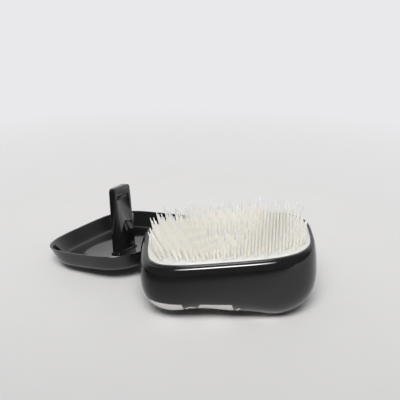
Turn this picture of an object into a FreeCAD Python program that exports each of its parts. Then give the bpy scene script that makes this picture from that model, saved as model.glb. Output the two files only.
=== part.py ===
import FreeCAD, Part
import math
import os

os.makedirs("parts", exist_ok=True)

# Sizes are in millimetres and angles in degrees. Every piece is first drawn where it sits on the closed
# brush: X runs along the brush, Z points out of the teeth and z = 0 is the plane of the body's rim.

# Outline that the pad, the rim and the cover share
pad_half_length = 41.0
pad_half_width = 29.8
rim_width = 1.6
left_squareness = 4.2
right_squareness = 3.4
outline_points = 64

# Back shell
left_bulge = 3.5
right_bulge = 1.0
side_bulge = 2.5
bulge_depth = 9.0
left_depth = 32.5
heel_depth = 38.5
heel_place = 15.0
heel_spread = 9.6
saddle_depth = 3.4
saddle_place = -17.6
saddle_spread = 13.3
back_roundness = 3.05
shell_wall = 2.2
ledge_width = 2.0
rim_round = 0.5

# Tooth pad
pad_thickness = 2.0
pad_proud = 0.5
pad_edge_chamfer = 0.4
seat_gap = 0.15
tooth_pitch = 5.0
tooth_row_gap = 2.25
tooth_stagger_share = 0.38
tooth_edge_gap = 2.2
slot_land = 1.5
long_tooth = 10.0
short_tooth = 7.2
tooth_root_radius = 0.65
tooth_tip_radius = 0.28
tooth_sides = 5
tooth_lean = 14.0
tooth_sink = 0.6

# Pad carrier and its socket, which the tongue's tip reaches through
carrier_thickness = 1.6
socket_wall = 1.4
tongue_reach = 2.0
rib_thickness = 1.6
rib_length = 14.0
rib_height = 10.0

# Cover: its walls lean in by a share of the outline over its depth, and its crown falls off by a share
cover_depth = 12.0
cover_wall = 1.1
cover_lean_share = 0.136
cover_crown_share = 0.284
cover_corner_squareness = 8

# Tongue on the cover
tongue_length = 37.8
tongue_foot_width = 17.0
tongue_tip_width = 15.0
tongue_foot_thickness = 4.2
tongue_tip_thickness = 3.9
tongue_corner = 2.0
tongue_clearance = 0.5
groove_tip_gap = 5.5
groove_height = 1.2
groove_border = 2.0
groove_depth = 0.7
pedestal_border = 0.6
pedestal_height = 0.8

# Catch leaf
leaf_width = 8.0
leaf_thickness = 0.8
leaf_gap = 0.3
leaf_tail = 2.6
leaf_pocket_gap = 0.15
leaf_pocket_depth = 2.0
boss_wall = 1.2
boss_height = 3.0
nib_width = 6.0
nib_reach = 0.95
nib_flat = 0.4
nib_height = 4.4
window_gap = 0.5

# How the two halves lie on the table: the cover stands a gap off the brush, at a bearing from its middle
brush_tilt = 4.4
cover_bearing = 135.06
cover_gap = 0.55
slide_steps = 8
cover_turn = 239.5
cover_end_tilt = -3.3
cover_side_tilt = -5.9

# The axes and half a turn
x_axis, y_axis, z_axis = FreeCAD.Vector(1, 0, 0), FreeCAD.Vector(0, 1, 0), FreeCAD.Vector(0, 0, 1)
half_turn = 180

# One overrun for every cut, and how little four corners may twist to count as flat
overrun = 1.0
flatness = 1e-6

# Rings of the lofts, as shares of the outline, from the edge to the middle
bulge_shares = (0.0, 0.35, 0.65, 1.0)
back_shares = (0.995, 0.98, 0.955, 0.92, 0.875, 0.82, 0.75, 0.66, 0.55, 0.42, 0.27, 0.12)
hollow_shares = (0.98, 0.92, 0.82, 0.66, 0.42, 0.12)
cover_shares = (1.0, 0.97, 0.945, 0.925, 0.908, 0.893, 0.878, 0.86, 0.83, 0.77, 0.68, 0.56, 0.43, 0.3)

# Places that follow from the sizes
hollow_points = outline_points // 2
rim_half_length = pad_half_length + rim_width
rim_half_width = pad_half_width + rim_width
pad_bottom = pad_proud - pad_thickness
ledge_depth = carrier_thickness - pad_bottom
slot_length = tongue_foot_width + 2 * tongue_clearance
slot_width = tongue_foot_thickness + 2 * tongue_clearance
socket_length = slot_length + 2 * socket_wall
socket_width = slot_width + 2 * socket_wall
leaf_face = socket_width / 2 + leaf_gap
leaf_back = leaf_face + leaf_thickness
boss_bottom = -ledge_depth - boss_height
leaf_top = boss_bottom + leaf_pocket_depth
leaf_pivot = boss_bottom + leaf_pocket_depth / 2


def outline_reach(angle):
    """Share of the half sizes that the outline reaches at an angle; its left end is squarer."""
    squareness = left_squareness if math.cos(angle) < 0 else right_squareness
    along = abs(math.cos(angle)) ** squareness
    across = abs(math.sin(angle)) ** squareness
    return (along + across) ** (-1 / squareness)


def outline_share(x, y, half_length, half_width):
    """How far out a point lies: 0 in the middle of an outline and 1 on it."""
    squareness = left_squareness if x < 0 else right_squareness
    along = abs(x / half_length) ** squareness
    across = abs(y / half_width) ** squareness
    return (along + across) ** (1 / squareness)


def ring(half_left, half_right, half_width, height, count=outline_points):
    """Corner points round the outline; height gives z from x."""
    points = []
    for step in range(count):
        angle = 2 * math.pi * step / count
        reach = outline_reach(angle)
        half_length = half_left if math.cos(angle) < 0 else half_right
        x = half_length * reach * math.cos(angle)
        y = half_width * reach * math.sin(angle)
        points.append(FreeCAD.Vector(x, y, height(x)))
    return points


def level_ring(half_length, half_width, z):
    """Flat ring, as long to the left as to the right."""
    return ring(half_length, half_length, half_width, lambda x: z)


def facet(points):
    """Flat face between corner points."""
    return Part.Face(Part.makePolygon(points + points[:1]))


def skin(rings):
    """Solid of flat facets that join each ring to the next, with a flat cap at both ends."""
    faces = [facet(rings[0]), facet(rings[-1])]
    for near, far in zip(rings, rings[1:]):
        sides = zip(near, near[1:] + near[:1], far[1:] + far[:1], far)
        for first, second, third, fourth in sides:
            twist = (second - first).cross(third - first).dot(fourth - first)
            if abs(twist) < flatness:
                faces.append(facet([first, second, third, fourth]))
            else:
                faces.append(facet([first, second, third]))
                faces.append(facet([first, third, fourth]))
    shell = Part.Shell(faces)
    shell.sewShape()
    solid = Part.Solid(shell)
    if solid.Volume < 0:
        solid.reverse()
    return solid


def slab(half_length, half_width, bottom, top):
    """Flat plate with the shared outline."""
    return facet(level_ring(half_length, half_width, bottom)).extrude(FreeCAD.Vector(0, 0, top - bottom))


def block(x_low, x_high, y_low, y_high, z_low, z_high):
    """Plain box between six planes."""
    corner = FreeCAD.Vector(x_low, y_low, z_low)
    return Part.makeBox(x_high - x_low, y_high - y_low, z_high - z_low, corner)


def centred_block(length, width, z_low, z_high):
    """Box centred on the Z axis."""
    return block(-length / 2, length / 2, -width / 2, width / 2, z_low, z_high)


def prism(points, way):
    """Flat polygon pushed along a vector."""
    return facet(points).extrude(way)


def back_fall(share):
    """Share of its depth that the back reaches at a share of its outline."""
    return (1 - share ** back_roundness) ** (1 / back_roundness)


def cover_fall(share):
    """Share of its depth that the cover reaches at a share of its outline: wall, soft corner and crown."""
    wall = (1 - share) / cover_lean_share
    crown = 1 - cover_crown_share * share ** 2
    together = wall ** cover_corner_squareness + crown ** cover_corner_squareness
    return wall * crown / together ** (1 / cover_corner_squareness)


# Heights that follow from the cover's floor
cover_floor = (cover_depth - cover_wall) * cover_fall(cover_shares[-1])
tongue_tip = cover_floor - tongue_length
socket_bottom = tongue_tip + tongue_reach
nib_place = tongue_tip + groove_tip_gap + groove_height / 2
leaf_bottom = nib_place - nib_height / 2 - leaf_tail


def back_depth(x):
    """Depth of the back below the rim along its middle: low toe, shallow saddle, full heel."""
    heel = (1 + math.tanh((x - heel_place) / heel_spread)) / 2
    saddle = saddle_depth * math.exp(-(((x - saddle_place) / saddle_spread) ** 2))
    return left_depth + (heel_depth - left_depth) * heel - saddle


def pebble(rim_half, rim_half_across, rim_depth, inset, shares, count):
    """Rings of the pebble under a rim; inset draws its walls and back in by a wall."""
    left = rim_half_length + left_bulge - inset
    right = rim_half_length + right_bulge - inset
    across = rim_half_width + side_bulge - inset
    rings = []
    for share in bulge_shares:
        out = math.sin(share * math.pi / 2)
        down = 1 - math.cos(share * math.pi / 2)
        depth = rim_depth + (bulge_depth - rim_depth) * down
        half_left = rim_half + (left - rim_half) * out
        half_right = rim_half + (right - rim_half) * out
        half_width = rim_half_across + (across - rim_half_across) * out
        rings.append(ring(half_left, half_right, half_width, lambda x, z=-depth: z, count))
    for share in shares[:-1]:
        fall = back_fall(share)
        height = lambda x, fall=fall: -bulge_depth - (back_depth(x) - inset - bulge_depth) * fall
        rings.append(ring(left * share, right * share, across * share, height, count))
    last = shares[-1]
    low, high = back_depth(-left * last), back_depth(right * last)
    slope = (high - low) / ((left + right) * last)
    flat = lambda x: inset - low - slope * (x + left * last)
    rings.append(ring(left * last, right * last, across * last, flat, count))
    return rings


def make_back_shell():
    """Hollow body with a rebate at the rim, where the carrier and the pad sit."""
    top = level_ring(rim_half_length - rim_round, rim_half_width - rim_round, 0)
    shell = skin([top] + pebble(rim_half_length, rim_half_width, rim_round, 0, back_shares, outline_points))
    mouth_length = pad_half_length - ledge_width
    mouth_width = pad_half_width - ledge_width
    hollow = skin(pebble(mouth_length, mouth_width, ledge_depth, shell_wall, hollow_shares, hollow_points))
    rebate = slab(pad_half_length + seat_gap, pad_half_width + seat_gap, -ledge_depth, overrun)
    return shell.cut(hollow).cut(rebate)


def make_pad_carrier():
    """Plate on the body's ledge with the tongue's socket, its ribs and the boss of the catch leaf."""
    carrier = slab(pad_half_length, pad_half_width, -ledge_depth, pad_bottom)
    carrier = carrier.fuse(centred_block(socket_length, socket_width, socket_bottom, -ledge_depth))
    for side in (-1, 1):
        start = side * socket_length / 2
        foot = FreeCAD.Vector(start, -rib_thickness / 2, -ledge_depth)
        end = foot + FreeCAD.Vector(side * rib_length, 0, 0)
        corners = [foot, end, foot - FreeCAD.Vector(0, 0, rib_height)]
        carrier = carrier.fuse(prism(corners, FreeCAD.Vector(0, rib_thickness, 0)))
    boss_half = leaf_width / 2 + leaf_pocket_gap + boss_wall
    boss_back = leaf_back + leaf_pocket_gap + boss_wall
    carrier = carrier.fuse(block(-boss_half, boss_half, slot_width / 2, boss_back, boss_bottom, -ledge_depth))
    pocket_half = leaf_width / 2 + leaf_pocket_gap
    pocket = block(-pocket_half, pocket_half, leaf_face - leaf_pocket_gap, leaf_back + leaf_pocket_gap,
                   boss_bottom - overrun, leaf_top + leaf_pocket_gap)
    slot = centred_block(slot_length, slot_width, socket_bottom - overrun, overrun)
    window_half = nib_width / 2 + window_gap
    window_rise = nib_height / 2 + window_gap
    window = block(-window_half, window_half, 0, socket_width / 2 + leaf_gap,
                   nib_place - window_rise, nib_place + window_rise)
    return carrier.cut(pocket).cut(slot).cut(window).removeSplitter()


def make_catch_leaf():
    """Sprung strip that hangs from the carrier, with a nib that reaches into the socket."""
    leaf = block(-leaf_width / 2, leaf_width / 2, leaf_face, leaf_back, leaf_bottom, leaf_top)
    nose = slot_width / 2 - nib_reach
    x = -nib_width / 2
    profile = [FreeCAD.Vector(x, leaf_face, nib_place + nib_height / 2),
               FreeCAD.Vector(x, nose, nib_place + nib_flat / 2),
               FreeCAD.Vector(x, nose, nib_place - nib_flat / 2),
               FreeCAD.Vector(x, leaf_face, nib_place - nib_height / 2)]
    nib = prism(profile, FreeCAD.Vector(nib_width, 0, 0))
    return leaf.fuse(nib).removeSplitter()


def tooth_places():
    """Rows of roots inside the pad's border and clear of the slot; each row starts a share of the pitch
    after the one before, and every other row is long."""
    reach_x = pad_half_length - tooth_edge_gap
    reach_y = pad_half_width - tooth_edge_gap
    rows = int(reach_y / tooth_row_gap)
    columns = int(reach_x / tooth_pitch) + 1
    places = []
    for row in range(-rows, rows + 1):
        is_long = row % 2 == 0
        shift = tooth_pitch * (row * tooth_stagger_share % 1)
        for column in range(-columns, columns + 1):
            x = column * tooth_pitch + shift
            y = row * tooth_row_gap
            in_slot = abs(x) < slot_length / 2 + slot_land and abs(y) < slot_width / 2 + slot_land
            share = outline_share(x, y, reach_x, reach_y)
            if share <= 1 and not in_slot:
                places.append((x, y, is_long))
    return places


def tooth_section(x, y, z, radius):
    """Level polygon with the section of a tooth."""
    points = []
    for corner in range(tooth_sides):
        angle = 2 * math.pi * corner / tooth_sides
        points.append(FreeCAD.Vector(x + radius * math.cos(angle), y + radius * math.sin(angle), z))
    return points


def make_tooth(x, y, is_long):
    """Tapered tooth that leans outwards the more, the nearer it stands to the pad's edge."""
    height = long_tooth if is_long else short_tooth
    fan = math.tan(math.radians(tooth_lean)) * outline_share(x, y, pad_half_length, pad_half_width)
    lean_x = fan * x / pad_half_length
    lean_y = fan * y / pad_half_width
    root_z = pad_proud - tooth_sink
    root = tooth_section(x - lean_x * tooth_sink, y - lean_y * tooth_sink, root_z, tooth_root_radius)
    tip = tooth_section(x + lean_x * height, y + lean_y * height, pad_proud + height, tooth_tip_radius)
    return skin([root, tip])


def make_tooth_pad():
    """One flexible moulding: a bordered plate with the tongue's slot and the field of teeth."""
    top_half_length = pad_half_length - pad_edge_chamfer
    top_half_width = pad_half_width - pad_edge_chamfer
    plate = skin([level_ring(pad_half_length, pad_half_width, pad_bottom),
                  level_ring(pad_half_length, pad_half_width, pad_proud - pad_edge_chamfer),
                  level_ring(top_half_length, top_half_width, pad_proud)])
    plate = plate.cut(centred_block(slot_length, slot_width, pad_bottom - overrun, pad_proud + overrun))
    teeth = [make_tooth(x, y, is_long) for x, y, is_long in tooth_places()]
    return plate.multiFuse(teeth)


def dome(inset, shares):
    """Rings of a dome over the rim's outline."""
    half_length = rim_half_length - inset
    half_width = rim_half_width - inset
    rings = []
    for share in shares:
        rise = (cover_depth - inset) * cover_fall(share)
        rings.append(level_ring(half_length * share, half_width * share, rise))
    return rings


def make_cover_shell():
    """Open bowl; its floor inside ends in a flat where the tongue stands."""
    mouth = level_ring(rim_half_length - cover_wall, rim_half_width - cover_wall, -overrun)
    inside = skin([mouth] + dome(cover_wall, cover_shares))
    return skin(dome(0, cover_shares)).cut(inside)


def rectangle(length, width, z):
    """Corners of a level rectangle round the Z axis."""
    signs = ((-1, -1), (1, -1), (1, 1), (-1, 1))
    return [FreeCAD.Vector(along * length / 2, across * width / 2, z) for along, across in signs]


def make_cover_tongue():
    """Tapered plate on a low pedestal, with a groove for the catch across both wide faces."""
    tongue = skin([rectangle(tongue_foot_width, tongue_foot_thickness, cover_floor),
                   rectangle(tongue_tip_width, tongue_tip_thickness, tongue_tip)])
    tip_edges = [edge for edge in tongue.Edges if edge.BoundBox.ZMax < tongue_tip + seat_gap]
    corners = [edge for edge in tip_edges if edge.BoundBox.XLength < seat_gap]
    tongue = tongue.makeFillet(tongue_corner, corners)
    groove_half = tongue_tip_width / 2 - groove_border
    groove_low = tongue_tip + groove_tip_gap
    groove_floor = tongue_foot_thickness / 2 - groove_depth
    groove = block(-groove_half, groove_half, groove_floor, tongue_foot_thickness,
                   groove_low, groove_low + groove_height)
    tongue = tongue.cut(groove).cut(groove.rotated(FreeCAD.Vector(), z_axis, half_turn))
    pedestal_length = tongue_foot_width + 2 * pedestal_border
    pedestal_width = tongue_foot_thickness + 2 * pedestal_border
    pedestal = centred_block(pedestal_length, pedestal_width, cover_floor - pedestal_height, cover_floor)
    return tongue.fuse(pedestal).removeSplitter()


# The pieces, drawn on the closed brush
brush_pieces = {
    "back_shell": make_back_shell(),
    "pad_carrier": make_pad_carrier(),
    "catch_leaf": make_catch_leaf(),
    "tooth_pad": make_tooth_pad(),
}
cover_pieces = {
    "cover_shell": make_cover_shell(),
    "cover_tongue": make_cover_tongue(),
}

# The brush lies on its back, its heel end raised; the cover lies beside it, upside down on its dome
brush_pose = FreeCAD.Placement(FreeCAD.Vector(), FreeCAD.Rotation(y_axis, -brush_tilt))
cover_rotation = FreeCAD.Rotation(z_axis, cover_turn)
cover_rotation = cover_rotation.multiply(FreeCAD.Rotation(x_axis, -cover_side_tilt))
cover_rotation = cover_rotation.multiply(FreeCAD.Rotation(y_axis, cover_end_tilt))
cover_rotation = cover_rotation.multiply(FreeCAD.Rotation(x_axis, half_turn))
cover_way = FreeCAD.Rotation(z_axis, cover_bearing).multVec(x_axis)
cover_reach = 2 * (rim_half_length + rim_half_width)
cover_pose = FreeCAD.Placement(cover_way * cover_reach, cover_rotation)


def resting(pieces, pose, lowest):
    """The pieces of one half in their pose, let down until the lowest piece touches the table."""
    placed = {name: shape.transformed(pose.toMatrix(), True) for name, shape in pieces.items()}
    drop = placed[lowest].optimalBoundingBox(False, False).ZMin
    for shape in placed.values():
        shape.translate(FreeCAD.Vector(0, 0, -drop))
    return placed, drop


brush_placed, brush_drop = resting(brush_pieces, brush_pose, "back_shell")
cover_placed, cover_drop = resting(cover_pieces, cover_pose, "cover_shell")

# The cover slides in along its bearing until its gap to the brush is left
for step in range(slide_steps):
    room = cover_placed["cover_shell"].distToShape(brush_placed["back_shell"])[0] - cover_gap
    cover_reach -= room
    for shape in cover_placed.values():
        shape.translate(cover_way * -room)
placed = {**brush_placed, **cover_placed}

# The origin is on the table, in the middle of the space that both halves take up
boxes = [shape.optimalBoundingBox(False, False) for shape in placed.values()]
middle_x = (min(box.XMin for box in boxes) + max(box.XMax for box in boxes)) / 2
middle_y = (min(box.YMin for box in boxes) + max(box.YMax for box in boxes)) / 2
for name, shape in placed.items():
    shape.translate(FreeCAD.Vector(-middle_x, -middle_y, 0))
    shape.exportStep(f"parts/{name}.step")
    print(name, "solids", len(shape.Solids), "valid", shape.isValid(), "volume", round(shape.Volume, 1))


def brush_point(x, y, z):
    """Row place of a point of the closed brush's frame."""
    return brush_pose.multVec(FreeCAD.Vector(x, y, z)) - FreeCAD.Vector(middle_x, middle_y, brush_drop)


print("slot mouth", brush_point(0, 0, pad_proud))
print("leaf pivot", brush_point(0, (leaf_face + leaf_back) / 2, leaf_pivot))
print("middle", middle_x, middle_y, "drops", brush_drop, cover_drop, "teeth", len(tooth_places()))
print("cover middle", cover_way * cover_reach - FreeCAD.Vector(middle_x, middle_y, cover_drop))
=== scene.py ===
import math
import bmesh
import bpy
from mathutils import Matrix, Vector


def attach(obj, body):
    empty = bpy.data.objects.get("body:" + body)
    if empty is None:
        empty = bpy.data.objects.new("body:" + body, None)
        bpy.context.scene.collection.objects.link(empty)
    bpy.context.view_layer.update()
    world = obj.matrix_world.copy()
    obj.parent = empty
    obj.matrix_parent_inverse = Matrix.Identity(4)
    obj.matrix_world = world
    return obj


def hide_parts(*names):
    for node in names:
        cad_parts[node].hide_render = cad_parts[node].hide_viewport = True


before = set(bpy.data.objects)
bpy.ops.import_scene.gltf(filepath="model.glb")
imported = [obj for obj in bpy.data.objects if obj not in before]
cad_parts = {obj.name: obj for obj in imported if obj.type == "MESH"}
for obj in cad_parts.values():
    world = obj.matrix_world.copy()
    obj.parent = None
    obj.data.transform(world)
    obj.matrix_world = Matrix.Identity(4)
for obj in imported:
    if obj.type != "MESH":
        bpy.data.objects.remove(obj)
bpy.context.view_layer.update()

# Back shell
# The hollow body that fills the palm: a rim, bulging sides, a deep heel and a shallow saddle underneath.
# Injection-moulded in black ABS and polished, with a white print on its back under clear lacquer.
# Lengths are in millimetres on the closed brush: X along it, Z out of the teeth, the rim at z = 0.
millimetre = 0.001
pad_half_length = 41.0
pad_half_width = 29.8
rim_width = 1.6
rim_round = 0.5
rim_half_length = pad_half_length + rim_width
rim_half_width = pad_half_width + rim_width
left_squareness = 4.2
right_squareness = 3.4
left_bulge = 3.5
right_bulge = 1.0
side_bulge = 2.5
bulge_depth = 9.0
toe_depth = 32.5
heel_depth = 38.5
heel_place = 15.0
heel_spread = 9.6
saddle_depth = 3.4
saddle_place = -17.6
saddle_spread = 13.3
back_roundness = 3.05
shell_wall = 2.2
ledge_width = 2.0
ledge_depth = 3.1
seat_gap = 0.15
outline_points = 192
outer_steps = 40
hollow_steps = 16
cap_step_share = 0.6
crease_angle = math.radians(40)
round_turns = [math.radians(turn) for turn in (0, 22.5, 45, 67.5, 90)]

# The middle of the rim lies here in the frame, in metres, and the heel end is raised by the tilt.
brush_middle = Vector((0.026562, -0.034664, 0.034328))
brush_tilt = math.radians(4.4)
brush_place = Matrix.Translation(brush_middle) @ Matrix.Rotation(-brush_tilt, 4, "Y")
brush_place = brush_place @ Matrix.Scale(millimetre, 4)


def outline_ring(half_left, half_right, half_width, height):
    """Points round the outline that all pieces share; height gives z from x."""
    points = []
    for step in range(outline_points):
        angle = 2 * math.pi * step / outline_points
        along, across = math.cos(angle), math.sin(angle)
        power = left_squareness if along < 0 else right_squareness
        reach = (abs(along) ** power + abs(across) ** power) ** (-1 / power)
        x = reach * along * (half_left if along < 0 else half_right)
        points.append(Vector((x, reach * across * half_width, height(x))))
    return points


def level_ring(half_length, half_width, z):
    """Flat ring, as long to the left as to the right."""
    return outline_ring(half_length, half_length, half_width, lambda x: z)


def back_depth(x):
    """Depth of the back under the rim along its middle."""
    heel = (1 + math.tanh((x - heel_place) / heel_spread)) / 2
    saddle = saddle_depth * math.exp(-(((x - saddle_place) / saddle_spread) ** 2))
    return toe_depth + (heel_depth - toe_depth) * heel - saddle


def pebble_rings(rim_half, rim_half_across, rim_depth, inset, steps):
    """Rings from a rim down over the bulge to a small cap in the middle of the back."""
    left = rim_half_length + left_bulge - inset
    right = rim_half_length + right_bulge - inset
    across = rim_half_width + side_bulge - inset
    rings = []
    for step in range(steps // 2):
        turn = step / (steps // 2) * math.pi / 2
        out = math.sin(turn)
        depth = rim_depth + (bulge_depth - rim_depth) * (1 - math.cos(turn))
        rings.append(outline_ring(rim_half + (left - rim_half) * out, rim_half + (right - rim_half) * out,
                                  rim_half_across + (across - rim_half_across) * out, lambda x: -depth))
    for step in range(steps + 1):
        turn = step / (steps + cap_step_share) * math.pi / 2
        share = math.cos(turn) ** (2 / back_roundness)
        fall = math.sin(turn) ** (2 / back_roundness)
        rings.append(outline_ring(left * share, right * share, across * share,
                                  lambda x: -bulge_depth - (back_depth(x) - inset - bulge_depth) * fall))
    return rings


def join_rings(work, near, far):
    """Quads between two rings with as many points."""
    for corners in zip(near, near[1:] + near[:1], far[1:] + far[:1], far):
        work.faces.new(corners)


def add_object(name, data):
    """Object for a mesh, lamp or camera, linked to the scene."""
    made = bpy.data.objects.new(name, data)
    bpy.context.scene.collection.objects.link(made)
    return made


def skin(name, rings, place, loop=False):
    """Smooth mesh over rings of points, closed by end caps or, in a loop, by the first ring."""
    work = bmesh.new()
    rows = [[work.verts.new(place @ point) for point in ring] for ring in rings]
    for near, far in zip(rows, rows[1:] + rows[:1] if loop else rows[1:]):
        join_rings(work, near, far)
    if not loop:
        work.faces.new(rows[0])
        work.faces.new(rows[-1])
    bmesh.ops.recalc_face_normals(work, faces=work.faces)
    mesh = bpy.data.meshes.new(name)
    work.to_mesh(mesh)
    work.free()
    mesh.shade_smooth()
    mesh.set_sharp_from_angle(angle=crease_angle)
    return add_object(name, mesh)


outer = []
for turn in round_turns[:-1]:
    draw_in = rim_round * (1 - math.sin(turn))
    z = -rim_round * (1 - math.cos(turn))
    outer.append(level_ring(rim_half_length - draw_in, rim_half_width - draw_in, z))
outer += pebble_rings(rim_half_length, rim_half_width, rim_round, 0, outer_steps)
rebate = [level_ring(pad_half_length + gap, pad_half_width + gap, z)
          for gap, z in ((seat_gap, 0), (seat_gap, -ledge_depth), (-ledge_width, -ledge_depth))]
hollow = pebble_rings(pad_half_length - ledge_width, pad_half_width - ledge_width, ledge_depth, shell_wall,
                      hollow_steps)
back_shell = skin("back_shell_form", outer[::-1] + rebate + hollow[1:], brush_place)


def linear(code):
    """Linear colour from an sRGB hex code."""
    parts = [int(code[place:place + 2], 16) / 255 for place in (1, 3, 5)]
    return tuple(c / 12.92 if c <= 0.04045 else ((c + 0.055) / 1.055) ** 2.4 for c in parts) + (1.0,)


def add(tree, kind, inputs, **settings):
    """Node with its settings; an input is a value or the socket that feeds it."""
    node = tree.nodes.new(kind)
    for name, value in settings.items():
        setattr(node, name, value)
    for name, value in inputs.items():
        if isinstance(value, bpy.types.NodeSocket):
            tree.links.new(value, node.inputs[name])
        else:
            node.inputs[name].default_value = value
    return node


def empty_material(name):
    """Material with an empty node tree, and that tree."""
    material = bpy.data.materials.new(name)
    material.use_nodes = True
    material.node_tree.nodes.clear()
    return material, material.node_tree


# Polished black ABS: a deep black whose shine is broken only by faint flow marks some 9 mm long and a
# moulded ripple of 2.5 mm.
flow_mark = 0.009
ripple_width = 0.0025
ripple_height = 0.0002
abs_ior = 1.53


def polished_abs(name, dark, light):
    """Polished ABS material, the coordinates and the black that it is made from, and its shader."""
    material, tree = empty_material(name)
    place = add(tree, "ShaderNodeTexCoord", {}).outputs["Object"]
    flow = add(tree, "ShaderNodeTexNoise", {"Vector": place, "Scale": 1 / flow_mark, "Detail": 3.0})
    ripple = add(tree, "ShaderNodeTexNoise", {"Vector": place, "Scale": 1 / ripple_width, "Detail": 1.0})
    bump = add(tree, "ShaderNodeBump", {"Height": ripple.outputs["Fac"], "Strength": 0.015,
                                        "Distance": ripple_height})
    shine = add(tree, "ShaderNodeMapRange", {"Value": flow.outputs["Fac"], "From Min": 0.3, "From Max": 0.7,
                                             "To Min": 0.05, "To Max": 0.09})
    black = add(tree, "ShaderNodeMix", {"Factor": flow.outputs["Fac"], "A": linear(dark),
                                        "B": linear(light)}, data_type="RGBA").outputs["Result"]
    shader = add(tree, "ShaderNodeBsdfPrincipled", {"Base Color": black, "IOR": abs_ior,
                                                    "Roughness": shine.outputs["Result"],
                                                    "Normal": bump.outputs["Normal"]})
    add(tree, "ShaderNodeOutputMaterial", {"Surface": shader.outputs["BSDF"]})
    return material, place, black, shader


abs_printed, place, black, shader = polished_abs("polished_black_abs_printed", "#151516", "#1a1a1b")
tree = abs_printed.node_tree

# The print: white spots 17 mm wide in a square grid over the back, with rings 5 mm wide between them. It
# stops at a level line on the side, lower at the heel. Lengths are in metres, and shares are of the pitch.
spot_pitch = 0.0247
spot_start = Vector((-0.0318, -0.0275, 0))
spot_share = 0.35
ring_inner_share = 0.06
ring_outer_share = 0.1
print_blur_share = 0.012
print_top_toe = 0.0124
print_top_heel = 0.005
heel_line_start = 0.004
heel_line_end = 0.006
print_edge = 0.0003
half_cell = Vector((spot_pitch / 2, spot_pitch / 2, 0))
ring_start = spot_start + Vector((spot_pitch / 2, 0, 0))
marks = []
for start, low, high in ((spot_start, 0.0, spot_share), (ring_start, ring_inner_share, ring_outer_share)):
    corner = (brush_middle + start - half_cell) * Vector((1, 1, 0))
    cell = add(tree, "ShaderNodeMapping", {"Vector": place, "Location": -corner / spot_pitch,
                                           "Scale": (1 / spot_pitch, 1 / spot_pitch, 0)})
    fraction = add(tree, "ShaderNodeVectorMath", {0: cell.outputs["Vector"]}, operation="FRACTION")
    away = add(tree, "ShaderNodeVectorMath", {0: fraction.outputs["Vector"], 1: (0.5, 0.5, 0)},
               operation="DISTANCE")
    inside = add(tree, "ShaderNodeMapRange", {"Value": away.outputs["Value"],
                                              "From Min": low - print_blur_share, "From Max": low})
    outside = add(tree, "ShaderNodeMapRange", {"Value": away.outputs["Value"], "From Min": high,
                                               "From Max": high + print_blur_share,
                                               "To Min": 1.0, "To Max": 0.0})
    mark = add(tree, "ShaderNodeMath", {0: inside.outputs["Result"], 1: outside.outputs["Result"]},
               operation="MULTIPLY")
    marks.append(mark.outputs["Value"])
motif = add(tree, "ShaderNodeMath", {0: marks[0], 1: marks[1]}, operation="MAXIMUM")
position = add(tree, "ShaderNodeSeparateXYZ", {"Vector": place})
print_top = add(tree, "ShaderNodeMapRange", {"Value": position.outputs["X"],
                                             "From Min": brush_middle.x + heel_line_start,
                                             "From Max": brush_middle.x + heel_line_end,
                                             "To Min": print_top_toe, "To Max": print_top_heel})
under_top = add(tree, "ShaderNodeMath", {0: print_top.outputs["Result"], 1: position.outputs["Z"]},
                operation="SUBTRACT")
on_back = add(tree, "ShaderNodeMapRange", {"Value": under_top.outputs["Value"], "From Min": 0.0,
                                           "From Max": print_edge})
printed = add(tree, "ShaderNodeMath", {0: motif.outputs["Value"], 1: on_back.outputs["Result"]},
              operation="MULTIPLY")
colour = add(tree, "ShaderNodeMix", {"Factor": printed.outputs["Value"], "A": black, "B": linear("#cfccca")},
             data_type="RGBA")
tree.links.new(colour.outputs["Result"], shader.inputs["Base Color"])
back_shell.data.materials.append(abs_printed)
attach(back_shell, "brush")
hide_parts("back_shell")

# Pad carrier
# The stiff plate under the pad, with the tongue's socket, its ribs and the boss that clamps the catch leaf.
# Dark grey ABS as it comes from a spark-eroded mould: dull, with a grit of about half a millimetre.
grit_width = 0.0005
grit_height = 0.0001
abs_moulded, tree = empty_material("dull_grey_abs")
place = add(tree, "ShaderNodeTexCoord", {}).outputs["Object"]
grit = add(tree, "ShaderNodeTexNoise", {"Vector": place, "Scale": 1 / grit_width, "Detail": 2.0})
bump = add(tree, "ShaderNodeBump", {"Height": grit.outputs["Fac"], "Strength": 0.2, "Distance": grit_height})
colour = add(tree, "ShaderNodeMix", {"Factor": grit.outputs["Fac"], "A": linear("#3c3c3e"),
                                     "B": linear("#464648")}, data_type="RGBA")
shader = add(tree, "ShaderNodeBsdfPrincipled", {"Base Color": colour.outputs["Result"], "Roughness": 0.55,
                                                "IOR": abs_ior, "Normal": bump.outputs["Normal"]})
add(tree, "ShaderNodeOutputMaterial", {"Surface": shader.outputs["BSDF"]})
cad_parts["pad_carrier"].data.materials.clear()
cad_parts["pad_carrier"].data.materials.append(abs_moulded)

# Catch leaf
# The sprung strip behind the slot, with the nib that holds the tongue. Natural white acetal, slippery and
# slightly waxy, with flow lines about 3 mm apart along the strip.
flow_line_gap = 0.003
flow_line_length = 0.015
acetal, tree = empty_material("natural_acetal")
place = add(tree, "ShaderNodeTexCoord", {}).outputs["Object"]
stretched = add(tree, "ShaderNodeMapping", {"Vector": place, "Scale": (1 / flow_line_gap, 1 / flow_line_gap,
                                                                       1 / flow_line_length)})
lines = add(tree, "ShaderNodeTexNoise", {"Vector": stretched.outputs["Vector"], "Scale": 1.0, "Detail": 2.0})
colour = add(tree, "ShaderNodeMix", {"Factor": lines.outputs["Fac"], "A": linear("#d3d1ca"),
                                     "B": linear("#dfddd7")}, data_type="RGBA")
shader = add(tree, "ShaderNodeBsdfPrincipled", {"Base Color": colour.outputs["Result"], "Roughness": 0.38,
                                                "IOR": 1.48})
add(tree, "ShaderNodeOutputMaterial", {"Surface": shader.outputs["BSDF"]})
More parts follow.
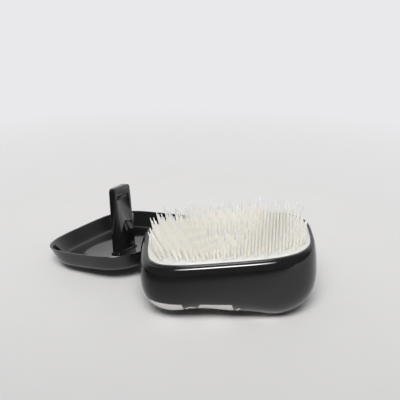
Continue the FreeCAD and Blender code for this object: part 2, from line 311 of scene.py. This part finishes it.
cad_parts["catch_leaf"].data.materials.clear()
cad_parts["catch_leaf"].data.materials.append(acetal)

# Tooth pad
# One soft moulding of cream polyester elastomer, pressed into the rim: a plate with a rounded border, the
# tongue's slot in its middle, and staggered rows of tapered teeth, long and short by turns, that fan out.
pad_thickness = 2.0
pad_proud = 0.5
pad_edge = 0.4
slot_half_length = 9.0
slot_half_width = 2.6
slot_round = 0.3
slot_land = 1.5
tooth_pitch = 5.0
tooth_row_gap = 2.25
tooth_stagger_share = 0.38
tooth_edge_gap = 2.2
long_tooth = 10.0
short_tooth = 7.2
tooth_foot = 0.92
tooth_foot_height = 0.6
tooth_root = 0.62
tooth_middle = 0.45
tooth_tip = 0.24
tooth_tip_round = 0.2
tooth_lean = math.radians(14)
tooth_sides = 10

# Shares of the foot's height and flare, from just inside the plate up, and of the tip's rounding and radius.
foot_shares = ((-0.5, 1.1), (0.0, 1.0), (1 / 3, 0.467), (1.0, 0.0))
tip_shares = ((2.5, 1.125), (1.0, 1.0), (0.25, 0.75), (0.0, 0.3))


def slot_ring(z, grow=0.0):
    """Points of the slot's edge on the same rays as an outline ring."""
    points = []
    for point in level_ring(pad_half_length, pad_half_width, z):
        scale = max(abs(point.x) / (slot_half_length + grow), abs(point.y) / (slot_half_width + grow))
        points.append(Vector((point.x / scale, point.y / scale, z)))
    return points


def outline_share(x, y, half_length, half_width):
    """0 in the middle of an outline and 1 on it."""
    power = left_squareness if x < 0 else right_squareness
    return (abs(x / half_length) ** power + abs(y / half_width) ** power) ** (1 / power)


pad_rings = [slot_ring(pad_proud - pad_thickness),
             level_ring(pad_half_length, pad_half_width, pad_proud - pad_thickness)]
for turn in round_turns:
    draw_in = pad_edge * (1 - math.cos(turn))
    z = pad_proud - pad_edge * (1 - math.sin(turn))
    pad_rings.append(level_ring(pad_half_length - draw_in, pad_half_width - draw_in, z))
pad_rings += [slot_ring(pad_proud, slot_round), slot_ring(pad_proud - slot_round / 3, slot_round / 3),
              slot_ring(pad_proud - slot_round)]
pad_plate = skin("tooth_pad_plate", pad_rings, brush_place, loop=True)


def tooth_profile(height):
    """Heights above the plate and radii of a tooth, from its foot to its rounded tip."""
    profile = [(tooth_foot_height * up, tooth_root + (tooth_foot - tooth_root) * flare)
               for up, flare in foot_shares]
    profile.append((height / 2, tooth_middle))
    return profile + [(height - tooth_tip_round * drop, tooth_tip * share) for drop, share in tip_shares]


work = bmesh.new()
reach_x = pad_half_length - tooth_edge_gap
reach_y = pad_half_width - tooth_edge_gap
last_row = int(reach_y / tooth_row_gap)
last_column = int(reach_x / tooth_pitch) + 1
side_turns = [2 * math.pi * side / tooth_sides for side in range(tooth_sides)]
for row in range(-last_row, last_row + 1):
    profile = tooth_profile(long_tooth if row % 2 == 0 else short_tooth)
    y = row * tooth_row_gap
    shift = tooth_pitch * (row * tooth_stagger_share % 1)
    for column in range(-last_column, last_column + 1):
        x = column * tooth_pitch + shift
        in_slot = abs(x) < slot_half_length + slot_land and abs(y) < slot_half_width + slot_land
        if in_slot or outline_share(x, y, reach_x, reach_y) > 1:
            continue
        fan = math.tan(tooth_lean) * outline_share(x, y, pad_half_length, pad_half_width)
        lean = Vector((fan * x / pad_half_length, fan * y / pad_half_width, 1))
        rows = []
        for up, radius in profile:
            middle = Vector((x, y, pad_proud)) + lean * up
            ring = [middle + Vector((radius * math.cos(turn), radius * math.sin(turn), 0))
                    for turn in side_turns]
            rows.append([work.verts.new(brush_place @ point) for point in ring])
        for near, far in zip(rows, rows[1:]):
            join_rings(work, near, far)
        work.faces.new(rows[0][::-1])
        work.faces.new(rows[-1])
mesh = bpy.data.meshes.new("tooth_pad_teeth")
work.to_mesh(mesh)
work.free()
mesh.shade_smooth()
pad_teeth = add_object("tooth_pad_teeth", mesh)

# Cream elastomer: satin and a little see-through, so light runs into it. Its colour holds painted light: the
# bare plate is painted greyer, as shade, and the teeth cream, as the warm light they pass to each other; the
# thin ends are painted paler, as light shining through them. Its colour drifts slightly over patches of 12
# mm. Its moulded grain is too fine to show and is drawn at 0.4 mm. Levels are in metres above the rim.
drift_width = 0.012
grain_width = 0.0004
grain_height = 0.0001
# Painted shade: up to these levels the bare plate is painted greyer than the teeth.
painted_shade_fade_start = 0.0006
painted_shade_fade_end = 0.002
# Painted light: from these levels up, the thin ends of the teeth are painted paler.
painted_pale_tip_start = 0.004
painted_pale_tip_end = 0.0105
light_depth = 0.003
pad_up = Vector((-math.sin(brush_tilt), 0, math.cos(brush_tilt)))
rim_level = brush_middle.dot(pad_up)
elastomer, tree = empty_material("cream_elastomer")
place = add(tree, "ShaderNodeTexCoord", {}).outputs["Object"]
drift = add(tree, "ShaderNodeTexNoise", {"Vector": place, "Scale": 1 / drift_width, "Detail": 2.0})
grain = add(tree, "ShaderNodeTexNoise", {"Vector": place, "Scale": 1 / grain_width, "Detail": 1.0})
bump = add(tree, "ShaderNodeBump", {"Height": grain.outputs["Fac"], "Strength": 0.08,
                                    "Distance": grain_height})
cream = add(tree, "ShaderNodeMix", {"Factor": drift.outputs["Fac"], "A": linear("#e6dfcf"),
                                    "B": linear("#ece6d8")}, data_type="RGBA")
level = add(tree, "ShaderNodeVectorMath", {0: place, 1: pad_up}, operation="DOT_PRODUCT")
# Painted shade: the bare plate, up to 2 mm above the rim, is greyer than the teeth.
above = add(tree, "ShaderNodeMapRange", {"Value": level.outputs["Value"], "From Min": rim_level + painted_shade_fade_start,
                                         "From Max": rim_level + painted_shade_fade_end})
painted_plate_shade = add(tree, "ShaderNodeMix", {"Factor": above.outputs["Result"], "A": linear("#d7d5d0"),
                                   "B": cream.outputs["Result"]}, data_type="RGBA")
# Painted light: the thin ends of the teeth are paler, as if lit through.
painted_pale_tip = add(tree, "ShaderNodeMapRange", {"Value": level.outputs["Value"], "From Min": rim_level + painted_pale_tip_start,
                                        "From Max": rim_level + painted_pale_tip_end})
colour = add(tree, "ShaderNodeMix", {"Factor": painted_pale_tip.outputs["Result"], "A": painted_plate_shade.outputs["Result"],
                                     "B": linear("#eae8e2")}, data_type="RGBA")
shader = add(tree, "ShaderNodeBsdfPrincipled", {"Base Color": colour.outputs["Result"], "Roughness": 0.42,
                                                "IOR": 1.5, "Normal": bump.outputs["Normal"],
                                                "Subsurface Weight": 1.0, "Subsurface Scale": light_depth,
                                                "Subsurface Radius": (1.0, 0.95, 0.85)})
add(tree, "ShaderNodeOutputMaterial", {"Surface": shader.outputs["BSDF"]})
for piece in (pad_plate, pad_teeth):
    piece.data.materials.append(elastomer)
    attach(piece, "brush")
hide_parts("tooth_pad")

# Cover shell
# The shallow tray that snaps over the teeth; here it lies beside the brush, upside down on its crown.
# Walls with a wide draft run through a soft corner into a gently crowned floor. Polished black ABS.
cover_depth = 12.0
cover_wall = 1.1
cover_lip = 0.35
cover_draft_share = 0.136
cover_sag_share = 0.284
corner_sharpness = 8.0
foot_share = 0.3
cover_middle = Vector((-0.03135, 0.023127, 0.013619))
cover_turn = math.radians(239.5)
cover_side_tilt = math.radians(-5.9)
cover_end_tilt = math.radians(-3.3)
cover_place = Matrix.Translation(cover_middle) @ Matrix.Rotation(cover_turn, 4, "Z")
cover_place = cover_place @ Matrix.Rotation(-cover_side_tilt, 4, "X")
cover_place = cover_place @ Matrix.Rotation(cover_end_tilt, 4, "Y")
cover_place = cover_place @ Matrix.Rotation(math.pi, 4, "X") @ Matrix.Scale(millimetre, 4)

# Where the tray's wall, soft corner and floor start, as shares of the rim's outline, with the steps in each.
# The floor ends at foot_share in the flat that the tongue stands on. The lip's shares are of its rounding.
tray_shares = ((0.994, 8), (0.92, 18), (0.78, 12))
lip_shares = ((0.086, 0.5), (0.3, 0.1), (1.0, 0.0))


def tray_rings(inset):
    """Rings of the tray's profile from near the rim to the middle of its floor."""
    ends = [start for start, steps in tray_shares[1:]] + [foot_share]
    shares = [start + (end - start) * step / steps for (start, steps), end in zip(tray_shares, ends)
              for step in range(steps)]
    rings = []
    for share in shares + [foot_share]:
        wall = (1 - share) / cover_draft_share
        crown = 1 - cover_sag_share * share ** 2
        fall = (wall ** -corner_sharpness + crown ** -corner_sharpness) ** (-1 / corner_sharpness)
        rings.append(level_ring((rim_half_length - inset) * share, (rim_half_width - inset) * share,
                                (cover_depth - inset) * fall))
    return rings


lip_points = [(cover_lip * across, cover_lip * down) for across, down in lip_shares]
lip_points += [(cover_wall - inset, z) for inset, z in lip_points[:0:-1]]
lip = [level_ring(rim_half_length - inset, rim_half_width - inset, z) for inset, z in lip_points]
cover_shell = skin("cover_shell_form", tray_rings(0)[::-1] + lip + tray_rings(cover_wall), cover_place)
abs_plain = polished_abs("polished_black_abs", "#121213", "#171718")[0]
cover_shell.data.materials.append(abs_plain)
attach(cover_shell, "cover")
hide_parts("cover_shell")

# Cover tongue
# The tapered plate in the middle of the tray that plugs into the pad's slot; a groove across its wide faces
# takes the catch's nib. Moulded with the tray, so the same black ABS, with edges rounded by 0.3 mm.
tongue_length = 37.8
foot_width = 17.0
foot_thickness = 4.2
tip_width = 15.0
tip_thickness = 3.9
tongue_corner = 2.0
tongue_edge = 0.3
groove_tip_gap = 5.5
groove_height = 1.2
groove_border = 2.0
groove_depth = 0.7
pedestal_border = 0.6
pedestal_height = 0.8
pedestal_sunk = 0.3
cover_floor = (cover_depth - cover_wall) * (1 - cover_sag_share * foot_share ** 2)
tip_z = cover_floor - tongue_length


def solid(name, corners, faces):
    """Flat-sided mesh piece from corners and faces, in the tray's frame."""
    mesh = bpy.data.meshes.new(name)
    mesh.from_pydata([cover_place @ Vector(corner) for corner in corners], [], faces)
    return add_object(name, mesh)


def box_between(name, low, high):
    """Plain box used as a cutter or a base."""
    corners = [(x, y, z) for x in (low[0], high[0]) for y in (low[1], high[1]) for z in (low[2], high[2])]
    faces = [(0, 1, 3, 2), (4, 6, 7, 5), (0, 4, 5, 1), (2, 3, 7, 6), (0, 2, 6, 4), (1, 5, 7, 3)]
    return solid(name, corners, faces)


profile = [(foot_width / 2, cover_floor)]
for turn in range(0, 91, 15):
    across, down = math.cos(math.radians(turn)), math.sin(math.radians(turn))
    profile.append((tip_width / 2 - tongue_corner * (1 - across), tip_z + tongue_corner * (1 - down)))
profile += [(-x, z) for x, z in profile[::-1]]
half_thickness = [tip_thickness / 2 + (foot_thickness - tip_thickness) / 2 * (z - tip_z) / tongue_length
                  for x, z in profile]
near = [(x, -half, z) for (x, z), half in zip(profile, half_thickness)]
far = [(x, half, z) for (x, z), half in zip(profile, half_thickness)]
count = len(profile)
faces = [tuple(range(count))[::-1], tuple(range(count, 2 * count))]
faces += [(step, (step + 1) % count, count + (step + 1) % count, count + step) for step in range(count)]
cover_tongue = solid("cover_tongue_form", near + far, faces)
groove_half = tip_width / 2 - groove_border
groove_low = tip_z + groove_tip_gap
grooves = [box_between("groove_cutter", (-groove_half, min(floor, side), groove_low),
                       (groove_half, max(floor, side), groove_low + groove_height))
           for floor, side in ((foot_thickness / 2 - groove_depth, foot_thickness),
                               (groove_depth - foot_thickness / 2, -foot_thickness))]
pedestal_half_length = foot_width / 2 + pedestal_border
pedestal_half_width = foot_thickness / 2 + pedestal_border
pedestal = box_between("tongue_pedestal",
                       (-pedestal_half_length, -pedestal_half_width, cover_floor - pedestal_height),
                       (pedestal_half_length, pedestal_half_width, cover_floor + pedestal_sunk))
for cutter, operation in ((grooves[0], "DIFFERENCE"), (grooves[1], "DIFFERENCE"), (pedestal, "UNION")):
    cut = cover_tongue.modifiers.new("cut", "BOOLEAN")
    cut.object = cutter
    cut.operation = operation
    cut.solver = "EXACT"
rounding = cover_tongue.modifiers.new("rounding", "BEVEL")
rounding.width = tongue_edge * millimetre
rounding.segments = 3
rounding.angle_limit = math.radians(30)
rounding.harden_normals = True
bpy.context.view_layer.update()
finished = cover_tongue.evaluated_get(bpy.context.evaluated_depsgraph_get())
mesh = bpy.data.meshes.new_from_object(finished)
cover_tongue.modifiers.clear()
cover_tongue.data = mesh
mesh.shade_smooth()
mesh.set_sharp_from_angle(angle=crease_angle)
for cutter in grooves + [pedestal]:
    bpy.data.objects.remove(cutter)
mesh.materials.clear()
mesh.materials.append(abs_plain)
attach(cover_tongue, "cover")
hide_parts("cover_tongue")

# Table
# A wide flat table covered with pale paper, whose fibres make patches of 20 mm. Its far parts are shown at
# the room's even tone. In mirror reflections it carries painted shade, going dark towards the viewer, sooner
# on the left.
table_half = 4.0
room_tone = linear("#e9e9eb")
fibre_patch = 0.02
reflection_shade_lift_way = (0.8, 1.0, 0.0)
reflection_shade_darkest = -0.17
reflection_shade_lightest = -0.05
far_start = 0.16
far_end = 0.34
mesh = bpy.data.meshes.new("paper_table")
mesh.from_pydata([(-table_half, -table_half, 0), (table_half, -table_half, 0), (table_half, table_half, 0),
                  (-table_half, table_half, 0)], [], [(0, 1, 2, 3)])
table = add_object("paper_table", mesh)
paper, tree = empty_material("pale_paper")
place = add(tree, "ShaderNodeTexCoord", {}).outputs["Object"]
fibre = add(tree, "ShaderNodeTexNoise", {"Vector": place, "Scale": 1 / fibre_patch, "Detail": 3.0})
colour = add(tree, "ShaderNodeMix", {"Factor": fibre.outputs["Fac"], "A": linear("#d8d7d6"),
                                     "B": linear("#dbdad9")}, data_type="RGBA")
ray = add(tree, "ShaderNodeLightPath", {})
# Painted shade in reflections: glossy rays see the paper fade to dark grey towards the viewer.
along = add(tree, "ShaderNodeVectorMath", {0: place, 1: reflection_shade_lift_way}, operation="DOT_PRODUCT")
reflection_shade_fade = add(tree, "ShaderNodeMapRange", {"Value": along.outputs["Value"], "From Min": reflection_shade_darkest,
                                        "From Max": reflection_shade_lightest})
mirrored = add(tree, "ShaderNodeMix", {"Factor": ray.outputs["Is Glossy Ray"], "A": 1.0,
                                       "B": reflection_shade_fade.outputs["Result"]})
# Painted shade: the dark grey that reflections of the near table are given.
paper_and_reflection_shade = add(tree, "ShaderNodeMix", {"Factor": mirrored.outputs["Result"], "A": linear("#2a2a2b"),
                                   "B": colour.outputs["Result"]}, data_type="RGBA")
shader = add(tree, "ShaderNodeBsdfPrincipled", {"Base Color": paper_and_reflection_shade.outputs["Result"], "Roughness": 0.6,
                                                "Specular IOR Level": 0.2})
away = add(tree, "ShaderNodeVectorMath", {0: place}, operation="LENGTH")
far = add(tree, "ShaderNodeMapRange", {"Value": away.outputs["Value"], "From Min": far_start,
                                       "From Max": far_end})
shown = ray.outputs["Is Camera Ray"]
for kind in ("Is Glossy Ray", "Is Transmission Ray"):
    either = add(tree, "ShaderNodeMath", {0: shown, 1: ray.outputs[kind]}, operation="MAXIMUM")
    shown = either.outputs["Value"]
lit = add(tree, "ShaderNodeMath", {0: shown, 1: far.outputs["Result"]}, operation="MULTIPLY")
glow = add(tree, "ShaderNodeEmission", {"Color": room_tone, "Strength": mirrored.outputs["Result"]})
surface = add(tree, "ShaderNodeMixShader", {0: lit.outputs["Value"], 1: shader.outputs["BSDF"],
                                            2: glow.outputs["Emission"]})
add(tree, "ShaderNodeOutputMaterial", {"Surface": surface.outputs["Shader"]})
mesh.materials.append(paper)

# Room and lamp
# An even pale room, which mirror reflections show dark on the viewer's side, and one large softbox, high in
# front, whose narrow beam lets the table fall off towards the viewer.
room_light = 0.28
front_light = 0.1
back_start = 0.2
back_end = 0.7
lamp_place = Vector((-0.1, -1.05, 1.2))
lamp_target = Vector((0, 0.13, 0.08))
world = bpy.data.worlds.new("studio")
bpy.context.scene.world = world
world.use_nodes = True
tree = world.node_tree
tree.nodes.clear()
way = add(tree, "ShaderNodeTexCoord", {}).outputs["Generated"]
direction = add(tree, "ShaderNodeSeparateXYZ", {"Vector": way})
behind = add(tree, "ShaderNodeMapRange", {"Value": direction.outputs["Y"], "From Min": back_start,
                                          "From Max": back_end, "To Min": front_light})
ray = add(tree, "ShaderNodeLightPath", {})
mirrored = add(tree, "ShaderNodeMix", {"Factor": ray.outputs["Is Glossy Ray"], "A": room_light,
                                       "B": behind.outputs["Result"]})
strength = add(tree, "ShaderNodeMath", {0: mirrored.outputs["Result"], 1: ray.outputs["Is Camera Ray"]},
               operation="MAXIMUM")
sky = add(tree, "ShaderNodeBackground", {"Color": room_tone, "Strength": strength.outputs["Value"]})
add(tree, "ShaderNodeOutputWorld", {"Surface": sky.outputs["Background"]})
lamp = bpy.data.lights.new("front_lamp", "AREA")
lamp.shape = "RECTANGLE"
lamp.size = 1.2
lamp.size_y = 0.6
lamp.energy = 3.6
lamp.spread = math.radians(40)
holder = add_object("front_lamp", lamp)
holder.location = lamp_place
holder.rotation_euler = (lamp_target - lamp_place).to_track_quat("-Z", "Y").to_euler()

# Camera
# It looks at the brush from the front, 21 degrees down, with a focal length that is measured in pixels of a
# picture 400 pixels wide.
camera_height = math.radians(20.76)
camera_turn = math.radians(0.68)
camera_reach = 0.4917
camera_aim = brush_middle + Vector((-0.0145, 0.00017, 0.0207))
picture_pixels = 400
focal_pixels = 978.1
forward = Vector((math.sin(camera_turn) * math.cos(camera_height),
                  math.cos(camera_turn) * math.cos(camera_height), -math.sin(camera_height)))
lens = bpy.data.cameras.new("camera")
lens.sensor_width = 36.0
lens.lens = lens.sensor_width * focal_pixels / picture_pixels
camera = add_object("camera", lens)
camera.location = camera_aim - forward * camera_reach
camera.rotation_euler = forward.to_track_quat("-Z", "Y").to_euler()
bpy.context.scene.camera = camera
bpy.context.scene.view_settings.view_transform = "Standard"
